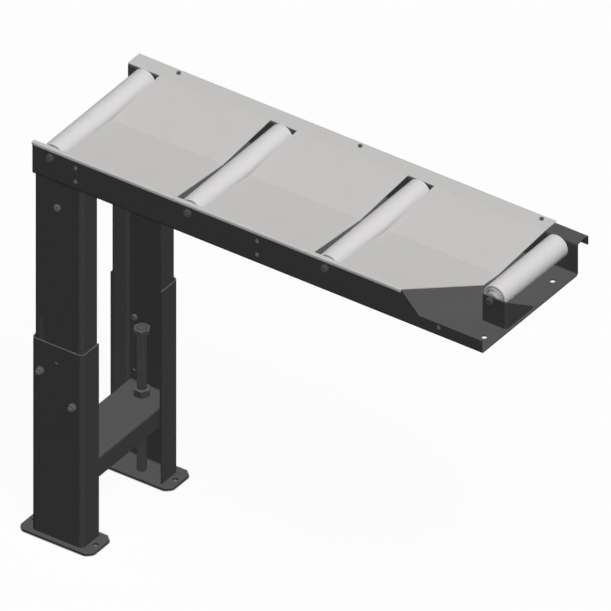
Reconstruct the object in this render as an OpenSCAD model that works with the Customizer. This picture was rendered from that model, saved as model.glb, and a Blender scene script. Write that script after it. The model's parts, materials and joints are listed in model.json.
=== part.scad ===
// Roller conveyor: a bent sheet bed with four rollers and a drip tray, carried at one
// end by a pair of telescopic legs with jack screws and bolted to a machine at the other.
// The origin lies between the two machine bolts, on the underside of the bed pan.
// +X points along the bed to the machine, +Z up, and -Y is the near side.

/* [Bed pan] */
// Length of the bed pan
bed_l = 1030; // [900:10:1400]
// Width of the bed pan over its webs
bed_w = 316; // [290:1:400]
// Height of the webs over the underside of the pan
web_h = 74; // [68:1:90]
// Thickness of the sheet of the pan, the posts and the crossbar
sheet_t = 3; // [2:0.5:4]
// Inner radius of the pan's bends
bend_r = 3.5; // [2:0.5:5]
// Width of the flange outside the far web
flange_w = 34; // [28:1:50]
// Height of the flange's lip
flange_lip_h = 22; // [16:1:30]
// Height of the near web where it is cut low for the machine
low_lip_h = 31; // [20:1:40]
// Distance from the machine end to the top of the near web's slanted cut
web_cut_from_end = 184.5; // [140:0.5:220]
// Length of the near web's slanted cut
web_cut_run = 41; // [20:1:60]
// Height of a working surface over the floor, at the middle setting
work_h = 900; // [860:5:1000]

/* [Machine bolts and accessory holes] */
// Distance between the two machine bolts
machine_bolt_span = 224; // [160:1:260]
// Distance of the machine bolts from the end of the pan
machine_bolt_edge = 26; // [15:1:40]
// Diameter of the machine bolt holes
machine_hole_d = 11; // [9:0.5:14]
// Diameter of the accessory holes in the near web
side_hole_d = 9; // [6:0.5:11]
// Distance of the outer accessory holes from the ends of the pan
side_hole_margin = 99; // [80:1:120]
// Height of the lower accessory holes over the underside
side_hole_z = 22; // [14:1:24]
// Distance between the accessory holes of a pair
side_hole_pitch = 31; // [20:1:36]

/* [Drip tray] */
// Thickness of the tray's sheet
tray_t = 1.5; // [1:0.5:2]
// Depth of the tray's valley under its rims
tray_depth = 13; // [6:0.5:18]
// Height of the tray's lip outside the near web
tray_lip_h = 6.5; // [5:0.5:12]
// Inner radius of the tray's bends, and gap between its lip and the near web
tray_bend_r = 1; // [0.5:0.5:2]
// Width of the flat strip inside the near web's outer face
tray_strip_w = 6; // [4:0.5:10]
// Gap between a roller and the edge of its slot in the tray
tray_slot_gap = 5.5; // [3:0.5:10]
// Distance from the machine end to the tray's slanted corner
tray_corner_from_end = 186; // [160:1:220]
// Thread diameter of the tray screws
tray_screw_d = 5; // [4:1:6]
// Width across the flats of the tray screws and nuts
tray_screw_af = 8; // [7:1:10]
// Height of the tray screws' heads
tray_screw_head_h = 3.5; // [2:0.5:4]
// Height of the tray nuts
tray_nut_h = 4; // [3:0.5:5]
// Distance of the tray screws from the flange's edge
tray_screw_inset = 12; // [9:1:14]

/* [Rollers] */
// Diameter of the rollers
roller_d = 50; // [46:1:60]
// Wall of the roller tubes
roller_wall = 2.5; // [2:0.5:3]
// Height of the axles over the underside of the pan
axle_h = 55; // [48:1:60]
// Distance of the end rollers' axes from the ends of the pan
roller_margin = 42.5; // [36:0.5:60]
// Gap between a roller's end and the web beside it
roller_end_gap = 5; // [4:0.5:8]
// Gap between the short roller's near end and its bracket
short_end_gap = 11; // [6:0.5:20]
// Chamfer of the roller tubes' ends
roller_chamfer = 0.8; // [0.2:0.1:1.5]
// Length of the end cups inside the tube
cup_l = 18; // [14:1:30]
// Length of the cups' nose outside the tube
cup_nose_l = 2.5; // [1:0.5:3]
// Wall of the cups' nose
cup_nose_wall = 1; // [0.5:0.25:2]
// Radius of the dished groove in the cups' faces
cup_groove_r = 2.2; // [1:0.1:2.5]
// Width of the shoulder behind each bearing
cup_shoulder = 2; // [1:0.5:3]

/* [Bearings and axles] */
// Bore of the bearings
bearing_bore = 15; // [12:1:17]
// Outer diameter of the bearings
bearing_od = 32; // [30:1:36]
// Width of the bearings
bearing_b = 9; // [8:1:12]
// Diameter of the bearing balls
ball_d = 4.5; // [3.5:0.1:4.8]
// Number of balls in a bearing
ball_count = 9; // [7:1:10]
// Clearance between a ball and its grooves
ball_gap = 0.25; // [0.1:0.05:0.3]
// Distance of the races' shoulders from the pitch circle
race_shoulder_gap = 1.8; // [1.5:0.1:2.2]
// Thickness of the bearing shields
shield_t = 0.8; // [0.5:0.1:1]
// Depth of the shields under the bearing's faces
shield_inset = 0.3; // [0.1:0.1:0.5]
// Clearance between a shield and the inner race
shield_gap = 0.3; // [0.2:0.05:0.5]
// Diameter of the axles between the bearings
axle_d = 20; // [18:1:22]
// Diameter of the dust collars on the axles
collar_d = 28; // [24:1:30]
// Length of the collars' step against the inner race
collar_step_l = 1; // [0.5:0.25:2]
// Thread diameter of the axle bolts
axle_bolt_d = 8; // [6:1:10]
// Width across the flats of the axle bolts' heads
axle_bolt_af = 13; // [10:1:16]
// Height of the axle bolts' heads
axle_bolt_head_h = 5.3; // [4:0.1:7]
// Depth of an axle bolt in its axle
axle_bolt_reach = 18; // [10:1:30]
// Diameter of the axle washers
axle_washer_d = 16; // [14:1:20]
// Thickness of the axle washers
axle_washer_t = 1.6; // [1:0.1:2]
// Clearance of a bolt in a drilled hole, on the diameter
bolt_hole_gap = 1; // [0.5:0.1:2]

/* [Bracket of the short roller] */
// Distance of the bracket's outer face from the middle of the bed
bracket_off = 69; // [50:1:90]
// Width of the bracket's plate
bracket_w = 55; // [50:1:60]
// Height of the bracket over the pan's floor
bracket_h = 60.5; // [57:0.5:64]
// Distance of the bracket from the machine end of the pan
bracket_end_gap = 5; // [2:1:8]
// Length of the bracket's wing
bracket_wing_l = 87; // [40:1:110]
// Height of the wing at its toe
bracket_toe_h = 4; // [2:1:10]

/* [Upper posts and crossbar] */
// Width of the upper posts
post_w = 111; // [100:1:120]
// Depth of the upper posts
post_d = 49; // [42:1:56]
// Inner radius of the posts' bends
post_bend_r = 6.5; // [4:0.5:7]
// Distance of the upper posts' webs inside the pan's outer faces
post_inset = 4.5; // [4:0.5:10]
// Travel of each leg up and down from the middle setting
travel = 118; // [60:1:130]
// Gap left between the crossbar and the foot at full travel
foot_clear = 8; // [3:1:20]
// Width of the crossbar
crossbar_w = 103; // [90:1:104]
// Height of the crossbar
crossbar_h = 46; // [36:1:60]
// Width of the hanger angles under the pan
hanger_w = 86; // [60:1:88]
// Height of the hanger angles
hanger_h = 80; // [74:1:110]
// Depth of the hanger angles
hanger_d = 42; // [30:1:46]
// Distance of the hanger bolts under the pan
hanger_bolt_drop = 57; // [45:1:62]

/* [Lower posts and feet] */
// Gap between the upper and the lower posts
slide_gap = 0.5; // [0.3:0.1:1]
// Length of the lower posts
lower_l = 440; // [420:5:520]
// Depth of the lower posts
lower_d = 54; // [48:1:60]
// Inner radius of the lower posts' bends
lower_bend_r = 7; // [5:0.5:9]
// Thickness of the foot plates
foot_t = 5; // [4:1:8]
// Length of the foot plates
foot_l = 167; // [160:1:200]
// Width of the foot plates
foot_w = 75; // [70:1:100]
// Chamfer of the foot plates' corners
foot_chamfer = 11.5; // [5:0.5:13]
// Diameter of the anchor holes
anchor_d = 12; // [9:0.5:13]
// Distance of the anchor holes from the ends of the feet
anchor_inset = 13; // [12:0.5:14]
// Diameter of the plain hole in the lower posts
lower_hole_d = 9; // [6:0.5:12]
// Distance of the plain hole from the top of the lower posts
lower_hole_drop = 35; // [20:1:45]

/* [Clamp studs] */
// Thread diameter of the clamp studs and hanger bolts
stud_d = 8; // [6:1:10]
// Distance of the clamp studs from the middle of the post
stud_off = 37; // [30:1:38]
// Distance of the upper clamp stud from the top of the lower post
stud_drop = 67.5; // [50:0.5:70]
// Height between the two clamp studs of a leg
stud_step = 55; // [40:1:70]
// Diameter of the studs' heads
stud_head_d = 13; // [12:1:16]
// Height of the studs' heads
stud_head_h = 4; // [3:0.5:6]
// Running gap between a stud's head and the upper post
stud_head_gap = 0.3; // [0.2:0.1:0.5]
// Length of the studs past the clamp nuts
stud_end_l = 5; // [3:1:12]
// Width across the flats of the clamp nuts and the hanger bolts
stud_nut_af = 13; // [10:1:17]
// Height of the clamp nuts
stud_nut_h = 6.5; // [5:0.5:10]
// Height of the hanger bolts' heads
stud_bolt_head_h = 5.3; // [4:0.1:8]
// Diameter of the clamp washers
stud_washer_d = 16; // [14:1:20]
// Thickness of the clamp washers
stud_washer_t = 1.6; // [1:0.1:2.5]

/* [Jack screws] */
// Thread diameter of the jack screws
jack_d = 20; // [16:1:24]
// Width across the flats of the jack nuts
jack_nut_af = 30; // [27:1:34]
// Height of the jack nuts on the crossbar
jack_nut_h = 16; // [12:1:20]
// Height of the thin nut on top of each jack screw
jack_head_h = 10; // [8:1:16]
// Distance of the jack screws behind the upper posts' webs
jack_inset = 32; // [26:1:36]
// Radial clearance of the screws in their nuts
jack_fit = 0.1; // [0.05:0.01:0.1]
// Gap between the head nut and the lock nut with the leg fully out
jack_top_gap = 9; // [0.5:0.5:15]
// Clearance of the screw in the crossbar's hole, on the diameter
jack_hole_gap = 2; // [1:0.5:4]
// Chamfer of the screws' ends
jack_chamfer = 1.5; // [0.5:0.5:2]

/* [Hidden] */
$fn = 72;
// One overrun for every cut
cut = 1;
// Number of rollers
roller_count = 4;
// Radius of a hexagon's flat end, as a share of half its width across the flats
hex_chamfer_share = 0.96;

machine_end_x = machine_bolt_edge;
leg_end_x = machine_end_x - bed_l;
bend_out = bend_r + sheet_t;
inner_y = bed_w / 2 - sheet_t;
floor_z = sheet_t;
ground_z = axle_h + roller_d / 2 - work_h;
side_hole_xs = [leg_end_x + side_hole_margin, leg_end_x + bed_l / 2, machine_end_x - side_hole_margin];

roller_pitch = (bed_l - 2 * roller_margin) / (roller_count - 1);
function roller_x(i) = leg_end_x + roller_margin + i * roller_pitch;
function is_short(i) = i == roller_count - 1;
// Inner faces of what an axle is clamped between, and the ends of its roller
function axle_near_y(i) = is_short(i) ? sheet_t - bracket_off : -inner_y;
function tube_near_y(i) = axle_near_y(i) + (is_short(i) ? short_end_gap : roller_end_gap);
tube_far_y = inner_y - roller_end_gap;

tube_r = roller_d / 2 - roller_wall;
bearing_r = bearing_od / 2;
bore_r = bearing_bore / 2;
ball_pitch_r = (bearing_r + bore_r) / 2;
groove_r = ball_d / 2 + ball_gap;
inner_race_r = ball_pitch_r - race_shoulder_gap;
outer_race_r = ball_pitch_r + race_shoulder_gap;
cup_nose_r = bearing_r + cup_nose_wall;

tray_bend_out = tray_bend_r + tray_t;
tray_top_z = web_h + tray_t;
tray_near_y = -bed_w / 2 - tray_bend_out;
tray_near_in = tray_strip_w - bed_w / 2;
tray_far_in = inner_y;
tray_fold_near = tray_near_in - tray_bend_r;
tray_fold_far = tray_far_in + tray_bend_r;
tray_far_y = bed_w / 2 + flange_w;
tray_slot_half = roller_d / 2 + tray_slot_gap;
tray_end_x = roller_x(roller_count - 1) - tray_slot_half;
tray_corner_x = machine_end_x - tray_corner_from_end;
tray_screw_y = tray_far_y - tray_screw_inset;

bracket_x = machine_end_x - bracket_end_gap - bracket_w;
bracket_top_z = floor_z + bracket_h;

post_x = leg_end_x + post_w / 2;
post_web_y = post_inset - bed_w / 2;
post_in_y = post_web_y + sheet_t;
post_bottom_z = ground_z + foot_t + travel + foot_clear;
crossbar_top_z = post_bottom_z + crossbar_h;
lower_w = post_w + 2 * (slide_gap + sheet_t);
lower_web_y = post_web_y - slide_gap - sheet_t;
lower_bottom_z = ground_z + foot_t;
lower_top_z = lower_bottom_z + lower_l;
foot_y = lower_web_y + lower_d / 2;
anchor_x = foot_l / 2 - anchor_inset;

stud_hole_d = stud_d + bolt_hole_gap;
// Places of a leg's two studs: the offset from the middle of the post, and the height
stud_places = [[-stud_off, lower_top_z - stud_drop], [stud_off, lower_top_z - stud_drop - stud_step]];

jack_y = post_web_y + jack_inset;
jack_top_z = crossbar_top_z + jack_nut_h + travel + jack_top_gap + jack_head_h;

// Shared profiles

// A block on its base line, with the two lower corners rounded
module round_base(w, h, r) {
    translate([r - w / 2, 0]) square([w - 2 * r, h]);
    translate([-w / 2, r]) square([w, h - r]);
    for (side = [-1, 1]) translate([side * (w / 2 - r), r]) circle(r);
}

// A bent channel, open at the top, that stands on its base line
module channel(w, h, t, r) {
    difference() {
        round_base(w, h, r);
        translate([0, t]) round_base(w - 2 * t, h, r - t);
    }
}

// A block from the origin with the corner at its right foot rounded
module round_corner(w, d, r) {
    square([w - r, d]);
    translate([0, r]) square([w, d - r]);
    translate([w - r, r]) circle(r);
}

// A bent angle whose outer corner is at its right foot
module angle_profile(w, d, t, r) {
    difference() {
        round_corner(w, d, r);
        translate([-cut, t]) round_corner(w + cut - t, d, r - t);
    }
}

// Sweeps a profile drawn as width and height along X
module along_x(l) {
    rotate([90, 0, 90]) linear_extrude(l) children();
}

// Turns a solid made along Z to lie along +Y
module toward_y() {
    rotate([-90, 0, 0]) children();
}

// A hexagon bar whose corners are chamfered at both ends
module hex_bar(af, h) {
    corner_r = af / sqrt(3);
    land_r = af / 2 * hex_chamfer_share;
    slope_h = (corner_r - land_r) / 2;
    intersection() {
        cylinder(h = h, r = corner_r, $fn = 6);
        rotate_extrude() polygon([
            [0, 0], [land_r, 0], [corner_r, slope_h],
            [corner_r, h - slope_h], [land_r, h], [0, h]
        ]);
    }
}

// A hexagon nut with a plain bore
module hex_nut(af, h, bore_d) {
    difference() {
        hex_bar(af, h);
        translate([0, 0, -cut]) cylinder(h = h + 2 * cut, d = bore_d);
    }
}

// A flat ring
module ring(h, outer_d, inner_d) {
    difference() {
        cylinder(h = h, d = outer_d);
        translate([0, 0, -cut]) cylinder(h = h + 2 * cut, d = inner_d);
    }
}

// A hexagon bolt whose head stands on z = 0 and whose shank hangs below it
module hex_bolt(af, head_h, shank_d, shank_l) {
    hex_bar(af, head_h);
    translate([0, 0, -shank_l]) cylinder(h = shank_l + cut, d = shank_d);
}

// Bed

module bed_pan_profile() {
    channel(bed_w, web_h - bend_out, sheet_t, bend_out);
    translate([-bed_w / 2, bend_out]) square([sheet_t, web_h - bend_out]);
    translate([inner_y + (flange_w + sheet_t) / 2, web_h])
        mirror([0, 1]) channel(flange_w + sheet_t, flange_lip_h, sheet_t, bend_out);
}

// The near web is cut low at the machine end
module near_web_cut() {
    cut_x = machine_end_x - web_cut_from_end;
    translate([0, -inner_y + cut, 0]) rotate([90, 0, 0]) linear_extrude(sheet_t + 2 * cut) polygon([
        [cut_x, web_h + cut], [cut_x, web_h], [cut_x + web_cut_run, low_lip_h],
        [machine_end_x + cut, low_lip_h], [machine_end_x + cut, web_h + cut]
    ]);
}

// A hole through a web whose outer face is at y
module web_hole(x, y, z, d) {
    translate([x, y - sheet_t - cut, z]) toward_y() cylinder(h = 2 * (sheet_t + cut), d = d);
}

module bed_pan() {
    color("dimgray") difference() {
        translate([leg_end_x, 0, 0]) along_x(bed_l) bed_pan_profile();
        near_web_cut();
        for (side = [-1, 1]) translate([0, side * machine_bolt_span / 2, -cut])
            cylinder(h = sheet_t + 2 * cut, d = machine_hole_d);
        for (x = side_hole_xs) for (z = [side_hole_z, side_hole_z + side_hole_pitch])
            web_hole(x, -bed_w / 2, z, side_hole_d);
        for (i = [0 : roller_count - 1]) {
            web_hole(roller_x(i), bed_w / 2, axle_h, axle_bolt_d + bolt_hole_gap);
            if (!is_short(i)) web_hole(roller_x(i), -bed_w / 2, axle_h, axle_bolt_d + bolt_hole_gap);
        }
        for (x = side_hole_xs) translate([x, tray_screw_y, web_h - sheet_t - cut])
            cylinder(h = sheet_t + 2 * cut, d = tray_screw_d + bolt_hole_gap / 2);
    }
}

module drip_tray_profile() {
    lip_z = tray_top_z - tray_lip_h;
    bend_y = tray_near_y + tray_bend_out;
    bend_z = tray_top_z - tray_bend_out;
    difference() {
        polygon([
            [tray_near_y, lip_z], [tray_near_y, tray_top_z], [tray_fold_near, tray_top_z],
            [0, tray_top_z - tray_depth], [tray_fold_far, tray_top_z], [tray_far_y, tray_top_z],
            [tray_far_y, web_h], [tray_fold_far, web_h], [0, web_h - tray_depth],
            [tray_fold_near, web_h], [bend_y, web_h], [tray_near_y + tray_t, web_h - tray_bend_r],
            [tray_near_y + tray_t, lip_z]
        ]);
        difference() {
            translate([tray_near_y - cut, bend_z]) square([tray_bend_out + cut, tray_bend_out + cut]);
            translate([bend_y, bend_z]) circle(tray_bend_out);
        }
    }
}

// Cuts everything between the two flat strips from one place to another
module tray_slot(from_x, to_x) {
    translate([from_x, tray_near_in, 0])
        cube([to_x - from_x, tray_far_in - tray_near_in, tray_top_z + cut]);
}

module drip_tray() {
    corner_run = tray_end_x - tray_corner_x;
    color("lightgray") difference() {
        translate([leg_end_x, 0, 0]) along_x(tray_end_x - leg_end_x) drip_tray_profile();
        tray_slot(leg_end_x - cut, roller_x(0) + tray_slot_half);
        for (i = [1 : roller_count - 2])
            tray_slot(roller_x(i) - tray_slot_half, roller_x(i) + tray_slot_half);
        linear_extrude(tray_top_z + cut) polygon([
            [tray_corner_x - cut, tray_near_y - cut],
            [tray_end_x + cut, tray_near_y + corner_run + cut],
            [tray_end_x + cut, tray_near_y - cut]
        ]);
        for (x = side_hole_xs) translate([x, tray_screw_y, web_h - cut])
            cylinder(h = tray_t + 2 * cut, d = tray_screw_d + bolt_hole_gap / 2);
    }
}

module tray_screws() {
    color("silver") for (x = side_hole_xs) translate([x, tray_screw_y, tray_top_z])
        hex_bolt(tray_screw_af, tray_screw_head_h, tray_screw_d, tray_t + sheet_t + tray_nut_h + tray_t);
}

module tray_nuts() {
    color("silver") for (x = side_hole_xs) translate([x, tray_screw_y, web_h - sheet_t - tray_nut_h])
        hex_nut(tray_screw_af, tray_nut_h, tray_screw_d);
}

module end_bracket() {
    wing_y = sheet_t - bracket_off;
    toe_y = bracket_wing_l - bracket_off;
    color("dimgray") difference() {
        translate([bracket_x, -bracket_off, floor_z]) linear_extrude(bracket_h)
            angle_profile(bracket_w, bracket_wing_l, sheet_t, bend_out);
        translate([bracket_x, 0, 0]) along_x(bracket_w + cut) polygon([
            [wing_y, bracket_top_z + cut], [wing_y, bracket_top_z], [toe_y, floor_z + bracket_toe_h],
            [toe_y + cut, floor_z + bracket_toe_h], [toe_y + cut, bracket_top_z + cut]
        ]);
        web_hole(roller_x(roller_count - 1), -bracket_off, axle_h, axle_bolt_d + bolt_hole_gap);
    }
}

// Axles, with a journal for a bearing at each end

// Places children on a roller's axis, at each end of its tube, with +Z pointing into the tube
module at_tube_ends(i) {
    translate([roller_x(i), tube_near_y(i), axle_h]) toward_y() children();
    translate([roller_x(i), tube_far_y, axle_h]) rotate([90, 0, 0]) children();
}

module axle(i) {
    near_y = axle_near_y(i);
    shoulder_y = tube_near_y(i) + bearing_b;
    translate([roller_x(i), 0, axle_h]) difference() {
        union() {
            translate([0, near_y, 0]) toward_y() cylinder(h = inner_y - near_y, r = bore_r);
            translate([0, shoulder_y, 0]) toward_y()
                cylinder(h = tube_far_y - bearing_b - shoulder_y, d = axle_d);
        }
        translate([0, near_y - cut, 0]) toward_y() cylinder(h = axle_bolt_reach + cut, d = axle_bolt_d);
        translate([0, inner_y - axle_bolt_reach, 0]) toward_y()
            cylinder(h = axle_bolt_reach + cut, d = axle_bolt_d);
    }
}

module axle_1() { color("silver") axle(0); }
module axle_2() { color("silver") axle(1); }
module axle_3() { color("silver") axle(2); }
module axle_4() { color("silver") axle(3); }

// A collar fills the gap from the inner race to the web, with a step that clears the shield
module collar(gap) {
    rotate([180, 0, 0]) rotate_extrude() polygon([
        [bore_r, 0], [inner_race_r, 0], [inner_race_r, collar_step_l],
        [collar_d / 2, collar_step_l], [collar_d / 2, gap], [bore_r, gap]
    ]);
}

module axle_collars() {
    color("silver") for (i = [0 : roller_count - 1]) {
        translate([roller_x(i), tube_near_y(i), axle_h]) toward_y() collar(tube_near_y(i) - axle_near_y(i));
        translate([roller_x(i), tube_far_y, axle_h]) rotate([90, 0, 0]) collar(roller_end_gap);
    }
}

module bearing_inner_race() {
    rotate_extrude() difference() {
        translate([bore_r, 0]) square([inner_race_r - bore_r, bearing_b]);
        translate([ball_pitch_r, bearing_b / 2]) circle(groove_r);
    }
}

module bearing_inner_races() {
    color("gainsboro") for (i = [0 : roller_count - 1]) at_tube_ends(i) bearing_inner_race();
}

// The faces that the axle bolts' washers sit on, with +Z pointing away from the roller
module at_axle_faces() {
    for (i = [0 : roller_count - 1]) {
        translate([roller_x(i), bed_w / 2, axle_h]) toward_y() children();
        translate([roller_x(i), axle_near_y(i) - sheet_t, axle_h]) rotate([90, 0, 0]) children();
    }
}

module axle_bolts() {
    color("silver") at_axle_faces() translate([0, 0, axle_washer_t])
        hex_bolt(axle_bolt_af, axle_bolt_head_h, axle_bolt_d, axle_washer_t + sheet_t + axle_bolt_reach);
}

module axle_washers() {
    color("gainsboro") at_axle_faces() ring(axle_washer_t, axle_washer_d, axle_bolt_d);
}

// Rollers

module roller_tube(i) {
    l = tube_far_y - tube_near_y(i);
    r = roller_d / 2;
    color("whitesmoke") translate([roller_x(i), tube_near_y(i), axle_h]) toward_y() rotate_extrude() polygon([
        [tube_r, 0], [r - roller_chamfer, 0], [r, roller_chamfer],
        [r, l - roller_chamfer], [r - roller_chamfer, l], [tube_r, l]
    ]);
}

// A cup closes each end of the tube, holds a bearing and has a dished face round a nose
module roller_end_cups(i) {
    shoulder_r = bearing_r - cup_shoulder;
    groove_mid_r = (cup_nose_r + tube_r) / 2;
    color("darkgray") at_tube_ends(i) rotate_extrude() difference() {
        polygon([
            [bearing_r, -cup_nose_l], [cup_nose_r, -cup_nose_l], [cup_nose_r, 0], [tube_r, 0],
            [tube_r, cup_l], [shoulder_r, cup_l], [shoulder_r, bearing_b], [bearing_r, bearing_b]
        ]);
        translate([groove_mid_r, -cup_groove_r / 2]) circle(cup_groove_r);
    }
}

module roller_outer_races(i) {
    color("gainsboro") at_tube_ends(i) rotate_extrude() difference() {
        translate([outer_race_r, 0]) square([bearing_r - outer_race_r, bearing_b]);
        translate([ball_pitch_r, bearing_b / 2]) circle(groove_r);
    }
}

module roller_balls(i) {
    color("white") at_tube_ends(i) for (k = [0 : ball_count - 1]) rotate([0, 0, k * 360 / ball_count])
        translate([ball_pitch_r, 0, bearing_b / 2]) sphere(d = ball_d);
}

// Thin rings in the outer race's bore cover the balls from both sides
module roller_shields(i) {
    color("darkgray") at_tube_ends(i) for (z = [shield_inset, bearing_b - shield_inset - shield_t])
        translate([0, 0, z]) ring(shield_t, 2 * outer_race_r, 2 * (inner_race_r + shield_gap));
}

module roller_1_tube() { roller_tube(0); }
module roller_1_end_cups() { roller_end_cups(0); }
module roller_1_outer_races() { roller_outer_races(0); }
module roller_1_balls() { roller_balls(0); }
module roller_1_shields() { roller_shields(0); }
module roller_2_tube() { roller_tube(1); }
module roller_2_end_cups() { roller_end_cups(1); }
module roller_2_outer_races() { roller_outer_races(1); }
module roller_2_balls() { roller_balls(1); }
module roller_2_shields() { roller_shields(1); }
module roller_3_tube() { roller_tube(2); }
module roller_3_end_cups() { roller_end_cups(2); }
module roller_3_outer_races() { roller_outer_races(2); }
module roller_3_balls() { roller_balls(2); }
module roller_3_shields() { roller_shields(2); }
module roller_4_tube() { roller_tube(3); }
module roller_4_end_cups() { roller_end_cups(3); }
module roller_4_outer_races() { roller_outer_races(3); }
module roller_4_balls() { roller_balls(3); }
module roller_4_shields() { roller_shields(3); }

// Legs. The near side is drawn, and the far side is the same turned half round about
// the middle of the crossbar. In these modules x = 0 is the middle of the post.

module on_near() {
    translate([post_x, 0, 0]) children();
}

module on_far() {
    translate([post_x, 0, 0]) rotate([0, 0, 180]) children();
}

module on_both() {
    on_near() children();
    on_far() children();
}

// A slot through the post's web, round at both ends
module post_slot(x, z) {
    slot_t = 2 * (sheet_t + cut);
    translate([x, post_web_y - sheet_t - cut, z]) {
        for (end = [-1, 1]) translate([0, 0, end * travel]) toward_y() cylinder(h = slot_t, d = stud_hole_d);
        translate([-stud_hole_d / 2, 0, -travel]) cube([stud_hole_d, slot_t, 2 * travel]);
    }
}

module upper_post() {
    color("dimgray") difference() {
        translate([0, post_web_y, post_bottom_z]) linear_extrude(-post_bottom_z)
            channel(post_w, post_d, sheet_t, post_bend_r + sheet_t);
        for (place = stud_places) post_slot(place[0], place[1]);
        web_hole(0, post_web_y, -hanger_bolt_drop, stud_hole_d);
    }
}

module upper_post_near() { on_near() upper_post(); }
module upper_post_far() { on_far() upper_post(); }

// Bevels the crossbar's corners where they meet the bends inside the posts
module crossbar_corner_cuts() {
    bend_x = post_w / 2 - sheet_t - post_bend_r;
    corner_x = crossbar_w / 2;
    run = max(0, corner_x - bend_x);
    bevel_y = post_in_y + post_bend_r - sqrt(pow(post_bend_r, 2) - pow(run, 2));
    for (turn = [0, 180]) for (side = [0, 1]) rotate([0, 0, turn]) mirror([side, 0, 0])
        translate([0, 0, post_bottom_z - cut]) linear_extrude(crossbar_h + 2 * cut) polygon([
            [corner_x - run, post_in_y], [corner_x - run, post_in_y - cut],
            [corner_x + cut, post_in_y - cut], [corner_x + cut, bevel_y], [corner_x, bevel_y]
        ]);
}

// The crossbar is welded between the posts' webs
module crossbar() {
    color("dimgray") on_near() difference() {
        translate([0, -post_in_y, crossbar_top_z]) rotate([90, 0, 0]) linear_extrude(-2 * post_in_y)
            mirror([0, 1]) channel(crossbar_w, crossbar_h, sheet_t, bend_out);
        crossbar_corner_cuts();
        for (side = [-1, 1]) translate([0, side * jack_y, crossbar_top_z - sheet_t - cut])
            cylinder(h = sheet_t + 2 * cut, d = jack_d + jack_hole_gap);
    }
}

module jack_lock_nuts() {
    color("gray") on_both() translate([0, jack_y, crossbar_top_z])
        hex_nut(jack_nut_af, jack_nut_h, jack_d + 2 * jack_fit);
}

module jack_weld_nuts() {
    color("gray") on_both() translate([0, jack_y, crossbar_top_z - sheet_t - jack_nut_h])
        hex_nut(jack_nut_af, jack_nut_h, jack_d + 2 * jack_fit);
}

// An angle welded under the pan stands inside the post and takes its bolt
module hanger() {
    color("dimgray") difference() {
        translate([-hanger_w / 2, post_in_y, 0]) along_x(hanger_w)
            mirror([0, 1]) translate([hanger_d, 0]) mirror([1, 0])
            angle_profile(hanger_d, hanger_h, sheet_t, bend_out);
        web_hole(0, post_in_y, -hanger_bolt_drop, stud_hole_d);
    }
}

module hanger_near() { on_near() hanger(); }
module hanger_far() { on_far() hanger(); }

module hanger_bolts() {
    shank_l = 2 * sheet_t + stud_washer_t + stud_nut_h + stud_washer_t;
    color("silver") on_both() translate([0, post_web_y, -hanger_bolt_drop]) rotate([90, 0, 0])
        hex_bolt(stud_nut_af, stud_bolt_head_h, stud_d, shank_l);
}

module hanger_washers() {
    color("gainsboro") on_both() translate([0, post_in_y + sheet_t, -hanger_bolt_drop]) toward_y()
        ring(stud_washer_t, stud_washer_d, stud_d);
}

module hanger_nuts() {
    color("silver") on_both() translate([0, post_in_y + sheet_t + stud_washer_t, -hanger_bolt_drop]) toward_y()
        hex_nut(stud_nut_af, stud_nut_h, stud_d);
}

module lower_post() {
    color("dimgray") difference() {
        translate([0, lower_web_y, lower_bottom_z]) linear_extrude(lower_l)
            channel(lower_w, lower_d, sheet_t, lower_bend_r + sheet_t);
        for (place = stud_places) web_hole(place[0], lower_web_y, place[1], stud_hole_d);
        web_hole(0, lower_web_y, lower_top_z - lower_hole_drop, lower_hole_d);
    }
}

// A plate with cut corners and an anchor hole at each end
module foot_plate() {
    end_x = foot_l / 2;
    side_y = foot_w / 2;
    color("dimgray") translate([0, foot_y, ground_z]) difference() {
        linear_extrude(foot_t) polygon([
            [-end_x, foot_chamfer - side_y], [foot_chamfer - end_x, -side_y],
            [end_x - foot_chamfer, -side_y], [end_x, foot_chamfer - side_y],
            [end_x, side_y - foot_chamfer], [end_x - foot_chamfer, side_y],
            [foot_chamfer - end_x, side_y], [-end_x, side_y - foot_chamfer]
        ]);
        for (side = [-1, 1]) translate([side * anchor_x, 0, -cut])
            cylinder(h = foot_t + 2 * cut, d = anchor_d);
    }
}

// The studs' low heads run inside the upper post and their shanks run in its slots
module clamp_studs() {
    head_y = post_in_y + stud_head_gap;
    shank_l = head_y - lower_web_y + stud_washer_t + stud_nut_h + stud_end_l;
    color("silver") for (place = stud_places) translate([place[0], head_y, place[1]]) {
        toward_y() cylinder(h = stud_head_h, d = stud_head_d);
        rotate([90, 0, 0]) translate([0, 0, -cut]) cylinder(h = shank_l + cut, d = stud_d);
    }
}

module clamp_washers() {
    color("gainsboro") for (place = stud_places) translate([place[0], lower_web_y, place[1]]) rotate([90, 0, 0])
        ring(stud_washer_t, stud_washer_d, stud_d);
}

module clamp_nuts() {
    color("silver") for (place = stud_places) translate([place[0], lower_web_y - stud_washer_t, place[1]])
        rotate([90, 0, 0]) hex_nut(stud_nut_af, stud_nut_h, stud_d);
}

module jack_screw() {
    r = jack_d / 2;
    l = jack_top_z - lower_bottom_z;
    color("gray") translate([0, jack_y, lower_bottom_z]) rotate_extrude() polygon([
        [0, 0], [r - jack_chamfer, 0], [r, jack_chamfer], [r, l - jack_chamfer], [r - jack_chamfer, l], [0, l]
    ]);
}

module jack_head_nut() {
    color("gray") translate([0, jack_y, jack_top_z - jack_head_h])
        hex_nut(jack_nut_af, jack_head_h, jack_d);
}

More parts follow.
